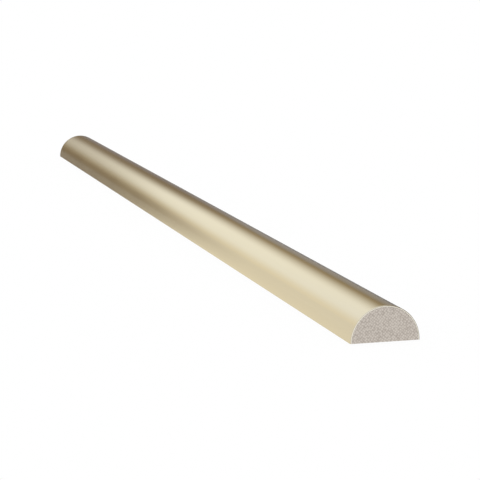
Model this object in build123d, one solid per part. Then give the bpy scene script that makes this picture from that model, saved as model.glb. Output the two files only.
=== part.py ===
"""Half-round liner moulding: a solid bar under a bent metal cap.

A straight strip of wall trim whose section is a half circle. The round side faces out
and the flat side is glued to the wall. A thin sheet of satin gold metal is bent over a
cast core, down to the wall on both long sides, and both are sawn off square together,
so the sheet's cut edge frames the core at each end.

The frame: the strip lies on its flat back along X, with Z up and away from the wall.
The origin is the middle of the flat back. All sizes are in millimetres.
"""

import os

from build123d import *

# Driving dimensions of the strip
STRIP_LENGTH = 304.8  # one 12 inch tile module
STRIP_WIDTH = 15.24  # across the flat back, 0.6 inch
SHEET_GAUGE = 0.3  # thickness of the metal sheet
ARRIS_RADIUS = 0.12  # the deburred outer edge of the sheet at each sawn end

# The two half circles that the section is made of
OUTER_RADIUS = STRIP_WIDTH / 2
CORE_RADIUS = OUTER_RADIUS - SHEET_GAUGE


def half_round(radius):
    """A half circle standing on the wall line, facing along X, as a closed face."""
    with BuildSketch(Plane.YZ) as section:
        Circle(radius)
        Rectangle(2 * radius, radius, align=(Align.CENTER, Align.MAX), mode=Mode.SUBTRACT)
    return section.sketch


def run_of(section):
    """The section swept along the whole strip, evenly either side of the origin."""
    return extrude(section, amount=STRIP_LENGTH / 2, both=True)


def make_core():
    """The cast bar, with its flat back on the wall and its round side under the sheet."""
    return run_of(half_round(CORE_RADIUS))


def make_metal_cap():
    """The bent sheet: the ring between the two half circles, with its end edges eased."""
    cap = run_of(half_round(OUTER_RADIUS) - half_round(CORE_RADIUS))
    outer_arcs = [
        edge
        for edge in cap.edges().filter_by(GeomType.CIRCLE)
        if abs(edge.radius - OUTER_RADIUS) < SHEET_GAUGE / 2
    ]
    return fillet(outer_arcs, ARRIS_RADIUS)


def main():
    os.makedirs("parts", exist_ok=True)
    nodes = {"core": make_core(), "metal_cap": make_metal_cap()}
    for name, shape in nodes.items():
        export_step(shape, f"parts/{name}.step")


main()
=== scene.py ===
# %% [markdown]
# A half-round trim strip in satin gold. It is two pieces: a thin gold metal sheet, bent
# to a half circle, and the solid bar that was cast inside it. A tiler lays it flat on a
# wall with the round side out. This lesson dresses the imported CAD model: first the
# camera and the studio, then each piece as a finer mesh, then its finish.

import math

import bmesh
import bpy
from mathutils import Color, Matrix, Vector, noise


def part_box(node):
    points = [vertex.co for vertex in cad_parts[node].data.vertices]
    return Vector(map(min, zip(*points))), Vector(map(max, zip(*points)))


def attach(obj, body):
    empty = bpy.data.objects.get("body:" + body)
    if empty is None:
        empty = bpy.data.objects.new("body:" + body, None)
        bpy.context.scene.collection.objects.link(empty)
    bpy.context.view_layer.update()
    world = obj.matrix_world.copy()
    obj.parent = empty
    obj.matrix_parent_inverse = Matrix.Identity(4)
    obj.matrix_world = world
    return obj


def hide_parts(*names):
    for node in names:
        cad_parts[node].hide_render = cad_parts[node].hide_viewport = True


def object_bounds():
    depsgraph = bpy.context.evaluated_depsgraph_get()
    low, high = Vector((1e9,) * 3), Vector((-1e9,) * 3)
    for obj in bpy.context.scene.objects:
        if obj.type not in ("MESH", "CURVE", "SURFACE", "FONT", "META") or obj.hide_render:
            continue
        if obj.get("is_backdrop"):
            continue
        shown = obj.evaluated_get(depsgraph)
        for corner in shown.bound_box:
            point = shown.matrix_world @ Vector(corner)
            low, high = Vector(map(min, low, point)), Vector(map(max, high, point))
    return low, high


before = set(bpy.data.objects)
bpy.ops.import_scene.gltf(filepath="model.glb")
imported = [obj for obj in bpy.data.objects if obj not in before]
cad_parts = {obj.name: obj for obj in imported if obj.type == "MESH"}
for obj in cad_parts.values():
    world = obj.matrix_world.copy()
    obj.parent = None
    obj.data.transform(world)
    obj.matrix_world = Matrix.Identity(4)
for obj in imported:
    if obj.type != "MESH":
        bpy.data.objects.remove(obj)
cad_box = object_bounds()
MM = 0.001  # the frame is in metres, and the strip is small enough to think in millimetres

sheet_low, sheet_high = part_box("metal_cap")
core_low, core_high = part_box("core")
LENGTH = sheet_high.x - sheet_low.x
OUTER_RADIUS = (sheet_high.y - sheet_low.y) / 2
CORE_RADIUS = (core_high.y - core_low.y) / 2
GAUGE = OUTER_RADIUS - CORE_RADIUS
print("strip", round(LENGTH / MM, 2), "mm long,", round(2 * OUTER_RADIUS / MM, 2), "mm wide,")
print("sheet", round(GAUGE / MM, 3), "mm thick")

# %% [markdown]
# The camera looks almost along the strip, from just above it, with a long lens. That
# view squeezes 300 mm of metal into a short slanted shape. A camera can be aimed with a
# Track To constraint, but three plain angles are easier to read and to correct: the
# heading over the floor, the tilt down, and a slight roll.

# %% The camera
CAMERA_PLACE = Vector((0.4580, -0.1261, 0.0804))
CAMERA_HEADING = math.radians(162.75)  # from +X towards +Y
CAMERA_TILT = math.radians(-10.25)
CAMERA_ROLL = math.radians(0.50)
CAMERA_LENS = 124.3  # in mm, on a sensor 36 mm wide

camera_data = bpy.data.cameras.new("camera")
camera_data.lens = CAMERA_LENS
camera_data.sensor_width = 36.0
camera_data.clip_start = 0.01
camera = bpy.data.objects.new("camera", camera_data)
camera.matrix_world = (
    Matrix.Translation(CAMERA_PLACE)
    @ Matrix.Rotation(CAMERA_HEADING - math.pi / 2, 4, "Z")
    @ Matrix.Rotation(math.pi / 2 + CAMERA_TILT, 4, "X")
    @ Matrix.Rotation(CAMERA_ROLL, 4, "Z")
)
bpy.context.collection.objects.link(camera)
bpy.context.scene.camera = camera
bpy.context.scene.view_settings.view_transform = "Standard"
print("camera", round((CAMERA_PLACE - Vector((LENGTH / 2, 0, 0))).length / MM), "mm off the near end")

# %% [markdown]
# Every material is a small net of nodes. One helper adds a node, sets its inputs and
# makes its links, so that a material reads as a list of steps. Colours are written as
# the hex values of a colour picker and turned to the linear values that shaders use.

# %% Helpers for materials
def linear(hex_value):
    """The shader's linear colour of an sRGB hex value."""
    parts = [int(hex_value[i:i + 2], 16) / 255 for i in (1, 3, 5)]
    return (*Color(parts).from_srgb_to_scene_linear(), 1.0)

def add(tree, kind, inputs=None, **settings):
    """Adds a node, sets its own settings, and sets or links its inputs."""
    node = tree.nodes.new(kind)
    for name, value in settings.items():
        setattr(node, name, value)
    for name, value in (inputs or {}).items():
        if isinstance(value, bpy.types.NodeSocket):
            tree.links.new(value, node.inputs[name])
        else:
            node.inputs[name].default_value = value
    return node

def new_material(name):
    """A material with only its output node, and the tree that it is drawn in."""
    material = bpy.data.materials.new(name)
    material.use_nodes = True
    tree = material.node_tree
    tree.nodes.clear()
    return material, tree, tree.nodes.new("ShaderNodeOutputMaterial")

print("a mid grey, #808080, is", round(linear("#808080")[0], 3), "as a linear value")

# %% [markdown]
# Shiny metal has no look of its own: it shows the room. The room here is a white tent,
# as photographers build round jewellery, with the world as its white cloth. Strength 1
# is plain white to the camera, and lights a pale surface at about its own colour.

# %% The white tent
world = bpy.data.worlds.new("white_tent")
bpy.context.scene.world = world
world.use_nodes = True
tree = world.node_tree
tree.nodes.clear()
cloth = add(tree, "ShaderNodeBackground", {"Color": (1, 1, 1, 1), "Strength": 1.0})
add(tree, "ShaderNodeOutputWorld", {"Surface": cloth.outputs[0]})
world.cycles.sampling_method = "NONE"
print("tent at strength", cloth.inputs["Strength"].default_value)

# %% [markdown]
# The strip lies on a clear glass table with the white cloth far below it. The glass is
# mostly see-through, so the ground looks white from above, and its thin frosted share
# catches a faint shadow along the foot of the strip. The glass is a hair's width lower
# than the strip's flat back, because two faces in one plane would show as dark streaks.

# %% The table
TABLE_REACH = 6.0  # from the strip to the table's edge, in metres
FROSTED_SHARE = 0.06
TABLE_GAP = 0.05 * MM

def stage_card(name, width, height, place, rotation):
    """A flat card that belongs to the studio."""
    card = bmesh.new()
    bmesh.ops.create_grid(card, x_segments=1, y_segments=1, size=0.5)
    bmesh.ops.scale(card, vec=(width, height, 1), verts=card.verts)
    mesh = bpy.data.meshes.new(name)
    card.to_mesh(mesh)
    card.free()
    thing = bpy.data.objects.new(name, mesh)
    thing.matrix_world = Matrix.Translation(place) @ rotation
    bpy.context.collection.objects.link(thing)
    thing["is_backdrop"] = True
    return thing

glass, tree, output = new_material("frosted_glass_table")
clear = add(tree, "ShaderNodeBsdfTransparent", {"Color": (1, 1, 1, 1)})
frost = add(tree, "ShaderNodeBsdfDiffuse", {"Color": (1, 1, 1, 1)})
mixed = add(tree, "ShaderNodeMixShader", {0: FROSTED_SHARE, 1: clear.outputs[0], 2: frost.outputs[0]})
tree.links.new(mixed.outputs[0], output.inputs["Surface"])

table_place = Vector((0, 0, -TABLE_GAP))
table = stage_card("floor", 2 * TABLE_REACH, 2 * TABLE_REACH, table_place, Matrix.Identity(4))
table.data.materials.append(glass)
print("table", 2 * TABLE_REACH, "m wide,", round(TABLE_GAP / MM, 3), "mm under the strip")

# %% [markdown]
# A strip in an all-white tent would look flat. On a real set it gets its round look from
# long things that run beside it. Here they are a wall on its right, dark grey below and
# warm brown at its top, and a cool light box over the strip. The metal mirrors the wall
# as the brown band past the crest, and the light box as the long highlight.
#
# Both are built as one long tunnel, with the strip on its axis. The tunnel's shade
# changes only round that axis, so it draws straight, soft bands along the metal. Each
# shade is an Emission, which looks the same whatever lights it. The tunnel has two runs.
# The second, behind the camera, starts a little above the table, and is there for the
# views from the far end. The tunnel is hidden from the camera, as a catalogue picture is
# cut out to white, and from matt surfaces, which the white cloth alone lights.

# %% The light tunnel
TUNNEL_RADIUS = 2.0
TUNNEL_FAR = -12.0  # where the two runs begin, meet and end along the strip, in metres
TUNNEL_NEAR = 2.2
TUNNEL_BACK = 12.0
TUNNEL_START = -60  # in degrees, round from the strip's right side over its top
BACK_START = 4  # above the table, to keep the wall out of the sawn end's sheen
TUNNEL_END = 154
TUNNEL_STEPS = 54
WALL_FOOT = "#7c797a"
LINING = (  # each shade, its strength, and the angles over which it takes over
    ("#9a9798", 1.0, -4, 6),  # the grey middle of the wall
    ("#846e38", 1.0, 24, 45),  # the warm brown top of the wall
    ("#edf3ff", 1.35, 27, 96),  # the light box
    ("#fffdf8", 1.05, 118, TUNNEL_END),  # the plain white tent
)

lining, tree, output = new_material("tunnel_lining")
place = add(tree, "ShaderNodeTexCoord")
axes = add(tree, "ShaderNodeSeparateXYZ", {"Vector": place.outputs["Object"]})
turn = add(tree, "ShaderNodeMath", {0: axes.outputs["Z"], 1: axes.outputs["Y"]}, operation="ARCTAN2")
shade = add(tree, "ShaderNodeEmission", {"Color": linear(WALL_FOOT), "Strength": 1.0})
for hex_value, strength, first, last in LINING:
    taking_over = add(tree, "ShaderNodeMapRange", {
        "Value": turn.outputs[0],
        "From Min": math.radians(first),
        "From Max": math.radians(last),
    }, interpolation_type="SMOOTHSTEP")
    next_shade = add(tree, "ShaderNodeEmission", {"Color": linear(hex_value), "Strength": strength})
    shade = add(tree, "ShaderNodeMixShader", {0: taking_over.outputs[0], 1: shade.outputs[0],
                                              2: next_shade.outputs[0]})
tree.links.new(shade.outputs[0], output.inputs["Surface"])
lining.cycles.emission_sampling = "NONE"  # it is only mirrored, and needn't act as a lamp

def tunnel_run(shell, far, near, start):
    """Spins one length of the tunnel's wall, from a starting angle over the top."""
    foot = Matrix.Rotation(math.radians(start), 4, "X") @ Vector((0, TUNNEL_RADIUS, 0))
    ends = [shell.verts.new(foot + Vector((x, 0, 0))) for x in (far, near)]
    seam = shell.edges.new(ends)
    bmesh.ops.spin(shell, geom=[*ends, seam], cent=(0, 0, 0), axis=(1, 0, 0),
                   angle=math.radians(TUNNEL_END - start), steps=TUNNEL_STEPS)

shell = bmesh.new()
tunnel_run(shell, TUNNEL_FAR, TUNNEL_NEAR, TUNNEL_START)
tunnel_run(shell, TUNNEL_NEAR, TUNNEL_BACK, BACK_START)
tunnel_mesh = bpy.data.meshes.new("light_tunnel")
shell.to_mesh(tunnel_mesh)
shell.free()
tunnel_mesh.materials.append(lining)
tunnel = bpy.data.objects.new("light_tunnel", tunnel_mesh)
bpy.context.collection.objects.link(tunnel)
tunnel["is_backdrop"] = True
tunnel.visible_camera = False
tunnel.visible_diffuse = False
print("tunnel", TUNNEL_BACK - TUNNEL_FAR, "m long, over", TUNNEL_END - TUNNEL_START, "degrees")

# %% [markdown]
# The far end of the set is dark too. The camera looks along the strip, so the metal
# mirrors what lies beyond it: a big dark card with rounded corners and a soft rim, which
# leans a little to one side. It is grey at its foot and browner above, and it thins
# towards its top, where the tent shows through. It darkens the far half of the strip,
# which the camera sees at a lower slant, more than the near half.

# %% The end card
CARD_PLACE = Vector((-4.0, 0.033, 0.1))
CARD_WIDE = 1.345  # half widths, in metres, at the middle of the soft rim
CARD_TALL = 1.0
CARD_LEAN = math.radians(10.8)
CARD_SQUARE = 2.32  # 2 is an oval, and more is squarer
CARD_RIM = 0.13  # half the width of the soft rim, as a share of the card
CARD_REACH = 1 + CARD_RIM
CARD_FOOT = "#867f7d"
CARD_TOP = "#817465"
TOP_STARTS = -0.02  # heights on the card, from its middle, as a share of its half height
TOP_FULL = 0.4
TOP_THINS = 0.33  # above this the card lets more and more of the tent through
TOP_GONE = 1.52

dark, tree, output = new_material("dark_end_card")
flat = add(tree, "ShaderNodeTexCoord")
share = add(tree, "ShaderNodeVectorMath", {0: flat.outputs["Object"],
                                           1: (1 / CARD_WIDE, 1 / CARD_TALL, 0)}, operation="MULTIPLY")
size = add(tree, "ShaderNodeVectorMath", {0: share.outputs[0]}, operation="ABSOLUTE")
sides = add(tree, "ShaderNodeSeparateXYZ", {"Vector": size.outputs[0]})
wide = add(tree, "ShaderNodeMath", {0: sides.outputs["X"], 1: CARD_SQUARE}, operation="POWER")
tall = add(tree, "ShaderNodeMath", {0: sides.outputs["Y"], 1: CARD_SQUARE}, operation="POWER")
both = add(tree, "ShaderNodeMath", {0: wide.outputs[0], 1: tall.outputs[0]}, operation="ADD")
off_centre = add(tree, "ShaderNodeMath", {0: both.outputs[0], 1: 1 / CARD_SQUARE}, operation="POWER")
rim_clears = add(tree, "ShaderNodeMapRange", {
    "Value": off_centre.outputs[0],
    "From Min": 1 - CARD_RIM,
    "From Max": 1 + CARD_RIM,
}, interpolation_type="SMOOTHSTEP")
height = add(tree, "ShaderNodeSeparateXYZ", {"Vector": share.outputs[0]})
rising = add(tree, "ShaderNodeMapRange", {
    "Value": height.outputs["Y"],
    "From Min": TOP_STARTS,
    "From Max": TOP_FULL,
}, interpolation_type="SMOOTHSTEP")
top_clears = add(tree, "ShaderNodeMapRange", {
    "Value": height.outputs["Y"],
    "From Min": TOP_THINS,
    "From Max": TOP_GONE,
}, interpolation_type="SMOOTHSTEP")
clearing = add(tree, "ShaderNodeMath", {0: rim_clears.outputs[0], 1: top_clears.outputs[0]},
               operation="MAXIMUM")
card_foot = add(tree, "ShaderNodeEmission", {"Color": linear(CARD_FOOT), "Strength": 1.0})
card_top = add(tree, "ShaderNodeEmission", {"Color": linear(CARD_TOP), "Strength": 1.0})
card_shade = add(tree, "ShaderNodeMixShader", {0: rising.outputs[0], 1: card_foot.outputs[0],
                                               2: card_top.outputs[0]})
clear = add(tree, "ShaderNodeBsdfTransparent", {"Color": (1, 1, 1, 1)})
soft = add(tree, "ShaderNodeMixShader", {0: clearing.outputs[0], 1: card_shade.outputs[0],
                                         2: clear.outputs[0]})
tree.links.new(soft.outputs[0], output.inputs["Surface"])
dark.cycles.emission_sampling = "NONE"

upright = Matrix.Rotation(math.pi / 2, 4, "Z") @ Matrix.Rotation(math.pi / 2, 4, "X")
facing = upright @ Matrix.Rotation(CARD_LEAN, 4, "Z")
end_card = stage_card("end_card", 2 * CARD_WIDE * CARD_REACH, 2 * CARD_TALL * CARD_REACH,
                      CARD_PLACE, facing)
end_card.data.materials.append(dark)
end_card.visible_camera = False
end_card.visible_diffuse = False
print("end card", round(2 * CARD_WIDE, 2), "by", round(2 * CARD_TALL, 2), "m")

# %% [markdown]
# The metal sheet. On the real strip it is rolled off a coil, bent to a half circle and
# sawn off with the core inside it, so its cut edge shows as a thin bright line round
# each end. A Solidify modifier on a bent plane would do, but spinning a short edge of
# the sheet's own thickness gives an exact wall and square ends. The outer edge of each
# end is deburred, so it gets a small bevel. A loop of edges is cut just behind it, which
# keeps the bevel's shading off the long faces.

# %% The bent sheet
BEND_STEPS = 120
END_ARRIS = 0.12 * MM
ARRIS_SEGMENTS = 4
SUPPORT = 0.3 * MM  # from each arris to the loop behind it
MERGE = 0.001 * MM  # points closer than this are one

def half_turn(bm, start, end, steps):
    """Spins the edge from start to end half round the strip's axis, over its flat back."""
    first = bm.verts.new(start)
    last = bm.verts.new(end)
    edge = bm.edges.new((first, last))
    bmesh.ops.spin(bm, geom=[first, last, edge], cent=(0, 0, 0), axis=(1, 0, 0),
                   angle=math.pi, steps=steps)

def run_to_length(bm, length):
    """Extrudes a section that stands at one end along the whole strip."""
    made = bmesh.ops.extrude_face_region(bm, geom=bm.faces[:], use_keep_orig=True)
    moved = [item for item in made["geom"] if isinstance(item, bmesh.types.BMVert)]
    bmesh.ops.translate(bm, verts=moved, vec=(length, 0, 0))
    bmesh.ops.remove_doubles(bm, verts=bm.verts[:], dist=MERGE)
    bmesh.ops.recalc_face_normals(bm, faces=bm.faces[:])

def radius_of(vert):
    """How far a point is from the strip's axis."""
    return math.hypot(vert.co.y, vert.co.z)

def across(edge):
    """True for an edge that stays at one end of the strip."""
    return edge.verts[0].co.x * edge.verts[1].co.x > 0

def ease_ends(bm, radius, arris, segments):
    """Rounds the edges that run round the strip's ends outside the given radius."""
    arcs = [
        edge for edge in bm.edges
        if across(edge) and min(radius_of(v) for v in edge.verts) > radius
    ]
    bmesh.ops.bevel(bm, geom=arcs, offset=arris, segments=segments, profile=0.5,
                    affect="EDGES", material=-1)

bm = bmesh.new()
half_turn(bm, (-LENGTH / 2, CORE_RADIUS, 0), (-LENGTH / 2, OUTER_RADIUS, 0), BEND_STEPS)
run_to_length(bm, LENGTH)
ease_ends(bm, OUTER_RADIUS - GAUGE / 2, END_ARRIS, ARRIS_SEGMENTS)
for side in (-1, 1):
    behind = side * (LENGTH / 2 - END_ARRIS - SUPPORT)
    bmesh.ops.bisect_plane(bm, geom=bm.verts[:] + bm.edges[:] + bm.faces[:], dist=MERGE,
                           plane_co=(behind, 0, 0), plane_no=(1, 0, 0))
sheet_mesh = bm
print("sheet bent in", BEND_STEPS, "steps of", round(180 / BEND_STEPS, 2), "degrees")

# %% [markdown]
# The core is cast: a fine-grained mix is pressed under the sheet and sets hard. The saw
# leaves its ends flat, apart from small open pores. The ends are spun as a fan of rings,
# close enough together for each pore to be a real dent, and the fan is then extruded to
# the strip's length. The core's own edge is eased too, which leaves the fine groove that
# shows between core and sheet.

# %% The cast core
GLUE_LINE = 0.02 * MM
CORE_RINGS = 59
CORE_STEPS = 150
CORE_ARRIS = 0.05 * MM
CORE_SEGMENTS = 2
PORE_SPACING = 0.8 * MM
PORE_RADIUS = 0.17 * MM
PORE_DEPTH = 0.07 * MM
PORE_SHARE = 0.35  # how many of the places for a pore hold one
PORE_SPREAD = 7.3  # sets neighbouring pores in different cells of the noise that opens them
SAW_WAVE = 0.008 * MM
SAW_RATE = 2  # the saw's waves to one pore spacing

def from_0_to_1(signed):
    """A noise value that runs from -1 to 1, as a share."""
    return signed * 0.5 + 0.5

def pore_depth(place):
    """How deep the sawn face lies at a point: the nearest pore and the saw's faint waves."""
    distances, centres = noise.voronoi(place / PORE_SPACING)
    open_pore = from_0_to_1(noise.cell(centres[0] * PORE_SPREAD)) < PORE_SHARE
    reach = distances[0] * PORE_SPACING / PORE_RADIUS
    dent = max(0.0, 1 - reach * reach) if open_pore else 0.0
    wave = from_0_to_1(noise.noise(place / PORE_SPACING * SAW_RATE))
    return PORE_DEPTH * dent + SAW_WAVE * wave

bm = bmesh.new()
core_edge = CORE_RADIUS - GLUE_LINE
half_turn(bm, (-LENGTH / 2, 0, 0), (-LENGTH / 2, core_edge, 0), CORE_STEPS)
bmesh.ops.remove_doubles(bm, verts=bm.verts[:], dist=MERGE)
spokes = [edge for edge in bm.edges if edge.calc_length() > core_edge / 2]
bmesh.ops.subdivide_edges(bm, edges=spokes, cuts=CORE_RINGS - 1)
run_to_length(bm, LENGTH)
for vert in bm.verts:
    inward = -1 if vert.co.x > 0 else 1
    if MERGE < vert.co.z and radius_of(vert) < core_edge - PORE_RADIUS:
        vert.co.x += inward * pore_depth(vert.co)
ease_ends(bm, core_edge - MERGE, CORE_ARRIS, CORE_SEGMENTS)
core_mesh = bm
print("core fan", CORE_RINGS, "rings of", round(core_edge / CORE_RINGS / MM, 3), "mm")

# %% [markdown]
# Satin gold. The real finish is a thin gold-toned metal coating on steel, rubbed with
# fine abrasive along the coil and sealed with a clear lacquer. The metal gives the warm
# brown depths, and the lacquer adds a whiter sheen where the tent is mirrored. On a metal,
# Specular Tint is its colour at a slant, here a deeper yellow. The rub is drawn several
# times coarser than it is, so that it shows close up.

# %% The satin gold finish
RUB_LENGTH = 14 * MM
RUB_WIDTH = 0.16 * MM
RUB_DEPTH = 0.0006 * MM
RUB_STRENGTH = 0.35
SMEAR = 9 * MM  # slow patches where the rub is a little finer or coarser
SMEAR_PULL = 0.4  # below 1 the patches are drawn out along the strip
GOLD = ("#c9bea2", "#cdc2a8")
GOLD_ROUGHNESS = (0.13, 0.17)
GOLD_AT_A_SLANT = "#ffeebc"
RUB_AND_SMEAR = (0.6, 1.4)  # from where to where the sum of both patterns counts
LACQUER_IOR = 1.5
LACQUER_ROUGHNESS = 0.118

def satin_gold():
    """Gold-toned metal, rubbed along its length, under clear lacquer."""
    material, tree, output = new_material("satin_gold_sheet")
    place = add(tree, "ShaderNodeTexCoord")
    along = add(tree, "ShaderNodeMapping", {"Vector": place.outputs["Object"],
                                            "Scale": (1 / RUB_LENGTH, 1 / RUB_WIDTH, 1 / RUB_WIDTH)})
    rub = add(tree, "ShaderNodeTexNoise", {"Vector": along.outputs[0], "Scale": 1.0, "Detail": 2.0})
    patches = add(tree, "ShaderNodeMapping", {"Vector": place.outputs["Object"],
                                              "Scale": (SMEAR_PULL / SMEAR, 1 / SMEAR, 1 / SMEAR)})
    smear = add(tree, "ShaderNodeTexNoise", {"Vector": patches.outputs[0], "Scale": 1.0, "Detail": 1.0})
    both = add(tree, "ShaderNodeMath", {0: rub.outputs["Fac"], 1: smear.outputs["Fac"]}, operation="ADD")
    rough = add(tree, "ShaderNodeMapRange", {
        "Value": both.outputs[0],
        "From Min": RUB_AND_SMEAR[0],
        "From Max": RUB_AND_SMEAR[1],
        "To Min": GOLD_ROUGHNESS[0],
        "To Max": GOLD_ROUGHNESS[1],
    })
    tone = add(tree, "ShaderNodeMix", {"Factor": rub.outputs["Fac"], "A": linear(GOLD[0]),
                                       "B": linear(GOLD[1])}, data_type="RGBA")
    groove = add(tree, "ShaderNodeBump", {"Height": rub.outputs["Fac"], "Strength": RUB_STRENGTH,
                                          "Distance": RUB_DEPTH})
    body = add(tree, "ShaderNodeBsdfPrincipled", {
        "Base Color": tone.outputs["Result"],
        "Metallic": 1.0,
        "Roughness": rough.outputs[0],
        "Normal": groove.outputs[0],
        "Coat Weight": 1.0,
        "Specular Tint": linear(GOLD_AT_A_SLANT),
        "Coat IOR": LACQUER_IOR,
        "Coat Roughness": LACQUER_ROUGHNESS,
    })
    tree.links.new(body.outputs[0], output.inputs["Surface"])
    return material

gold_finish = satin_gold()
print("gold finish: rub marks", round(RUB_WIDTH / MM, 2), "mm wide, roughness", GOLD_ROUGHNESS)

# %% [markdown]
# The sheet's cut edge has no coating: the saw and a file leave bare pale metal, which
# mirrors the white tent as a thin bright line. It is a second material slot of the same
# piece, on the faces that look along the strip.

# %% The bare cut edge
BARE_METAL = ("#e6dfcd", "#faf5ea")
FILED_ROUGHNESS = 0.3

def cut_edge():
    """Bare metal, filed square."""
    material, tree, output = new_material("bare_cut_edge")
    place = add(tree, "ShaderNodeTexCoord")
    fine = add(tree, "ShaderNodeMapping", {"Vector": place.outputs["Object"],
                                           "Scale": (1 / RUB_WIDTH,) * 3})
    filed = add(tree, "ShaderNodeTexNoise", {"Vector": fine.outputs[0], "Scale": 1.0, "Detail": 2.0})
    tone = add(tree, "ShaderNodeMix", {"Factor": filed.outputs["Fac"], "A": linear(BARE_METAL[0]),
                                       "B": linear(BARE_METAL[1])}, data_type="RGBA")
    body = add(tree, "ShaderNodeBsdfPrincipled", {
        "Base Color": tone.outputs["Result"],
        "Metallic": 1.0,
        "Roughness": FILED_ROUGHNESS,
    })
    tree.links.new(body.outputs[0], output.inputs["Surface"])
    return material

cut_finish = cut_edge()
print("cut finish: roughness", FILED_ROUGHNESS)

# %% [markdown]
# The core is a stoneware-like cast body: a pale warm grey binder with fine sand in it.
# It is matt, so the eye sees its own colour and no reflections. Sawn through, each grain
# shows as a pale dot of under half a millimetre, with darker binder between it and the
# next. The distance inside a Voronoi cell draws that dot, and the cell's own random shade
# makes some grains darker than others. The grains stray only a little from their rows,
# which keeps them alike in size. So the rows are set askew, and no weave shows that runs
# with the flat back. A whole number of grains goes into the length, and the pattern is
# shifted so that both saw cuts meet the grains' middles.

# %% The cast body
GRAINS_ALONG = 640
GRAIN = LENGTH / GRAINS_ALONG  # from one sand grain to the next
GRAIN_TURN = math.radians(38)
GRAIN_STRAY = 0.45  # 0 would set the grains in straight rows, and 1 wholly at random
OWN_SHADE = 0.2  # how far a grain's own shade moves it, against its distance to the middle
PALE_TO = 0.2  # where the shade starts to darken, in grains from a grain's middle
DARK_FROM = 0.85  # where it is darkest
GRAIN_PALE = "#d4ccc2"
GRAIN_DARK = "#9e948a"
GRAIN_SHARE = 0.8  # how much of the colour is the grains', against the mottle's
MOTTLE = 1.6 * MM
MOTTLE_SHADES = ("#b4aaa1", "#c2b9b1")
TOOTH_STRENGTH = 0.6
TOOTH_DEPTH = 0.02 * MM
CAST_ROUGHNESS = 0.88

def cast_body():
    """Fine-grained cast body, matt, with sand grains in a warm grey binder."""
    material, tree, output = new_material("cast_core_body")
    place = add(tree, "ShaderNodeTexCoord")
    grains = add(tree, "ShaderNodeMapping", {
        "Vector": place.outputs["Object"],
        "Scale": (1 / GRAIN,) * 3,
        "Rotation": (GRAIN_TURN, 0, 0),
        "Location": (GRAIN_STRAY / 2, 0, 0),
    })
    cells = add(tree, "ShaderNodeTexVoronoi", {"Vector": grains.outputs[0], "Scale": 1.0,
                                               "Randomness": GRAIN_STRAY})
    own = add(tree, "ShaderNodeSeparateColor", {"Color": cells.outputs["Color"]})
    worn = add(tree, "ShaderNodeMath", {0: own.outputs[0], 1: OWN_SHADE, 2: cells.outputs["Distance"]},
               operation="MULTIPLY_ADD")
    fleck = add(tree, "ShaderNodeValToRGB", {"Fac": worn.outputs[0]})
    stops = ((PALE_TO, GRAIN_PALE), (DARK_FROM, GRAIN_DARK))
    for stop, (position, hex_value) in zip(fleck.color_ramp.elements, stops):
        stop.position = position
        stop.color = linear(hex_value)
    slow = add(tree, "ShaderNodeMapping", {"Vector": place.outputs["Object"],
                                           "Scale": (1 / MOTTLE,) * 3})
    mottle = add(tree, "ShaderNodeTexNoise", {"Vector": slow.outputs[0], "Scale": 1.0, "Detail": 3.0})
    binder = add(tree, "ShaderNodeMix", {"Factor": mottle.outputs["Fac"], "A": linear(MOTTLE_SHADES[0]),
                                         "B": linear(MOTTLE_SHADES[1])}, data_type="RGBA")
    tone = add(tree, "ShaderNodeMix", {"Factor": GRAIN_SHARE, "A": binder.outputs["Result"],
                                       "B": fleck.outputs[0]}, data_type="RGBA")
    # the height grows away from each grain's middle, so the depth is negative
    tooth = add(tree, "ShaderNodeBump", {"Height": worn.outputs[0], "Strength": TOOTH_STRENGTH,
                                         "Distance": -TOOTH_DEPTH})
    body = add(tree, "ShaderNodeBsdfPrincipled", {
        "Base Color": tone.outputs["Result"],
        "Roughness": CAST_ROUGHNESS,
        "Normal": tooth.outputs[0],
    })
    tree.links.new(body.outputs[0], output.inputs["Surface"])
    return material

cast_finish = cast_body()
print("cast finish: grains", round(GRAIN / MM, 3), "mm apart")

# %% [markdown]
# Each bmesh now becomes an object. Its place is in its mesh, at the origin, where the
# CAD has it. It takes the place of its CAD solid and rides on the strip's only body.

# %% The finished pieces
SHARP_ANGLE = math.radians(32)
CUT_FACE = 0.995  # how squarely a face must look along the strip to be a cut one

def finished(bm, name, materials):
    """Makes the object of a bmesh, smooth except at real corners, and reports on it."""
    open_edges = sum(1 for edge in bm.edges if not edge.is_manifold)
    bm.normal_update()
    for face in bm.faces:
        face.smooth = True
        if len(materials) > 1 and abs(face.normal.x) > CUT_FACE:
            face.material_index = 1
    mesh = bpy.data.meshes.new(name)
    bm.to_mesh(mesh)
    bm.free()
    mesh.set_sharp_from_angle(angle=SHARP_ANGLE)
    for material in materials:
        mesh.materials.append(material)
    piece = bpy.data.objects.new(name, mesh)
    bpy.context.collection.objects.link(piece)
    mesh.calc_loop_triangles()
    print(name, len(mesh.loop_triangles), "triangles,", open_edges, "open edges")
    return piece

sheet = finished(sheet_mesh, "bent_gold_sheet", [gold_finish, cut_finish])
core = finished(core_mesh, "cast_core", [cast_finish])
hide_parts("metal_cap")
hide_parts("core")
for piece in (sheet, core):
    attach(piece, "root")

# %% [markdown]
# The dressed strip must be as large as the CAD model. Both boxes are measured here,
# and how far the highest corner moved is printed.

# %% The size
dressed_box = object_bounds()
growth = [round((new - old) / MM, 3) for old, new in zip(cad_box[1], dressed_box[1])]
print("the highest corner moved by", growth, "mm")
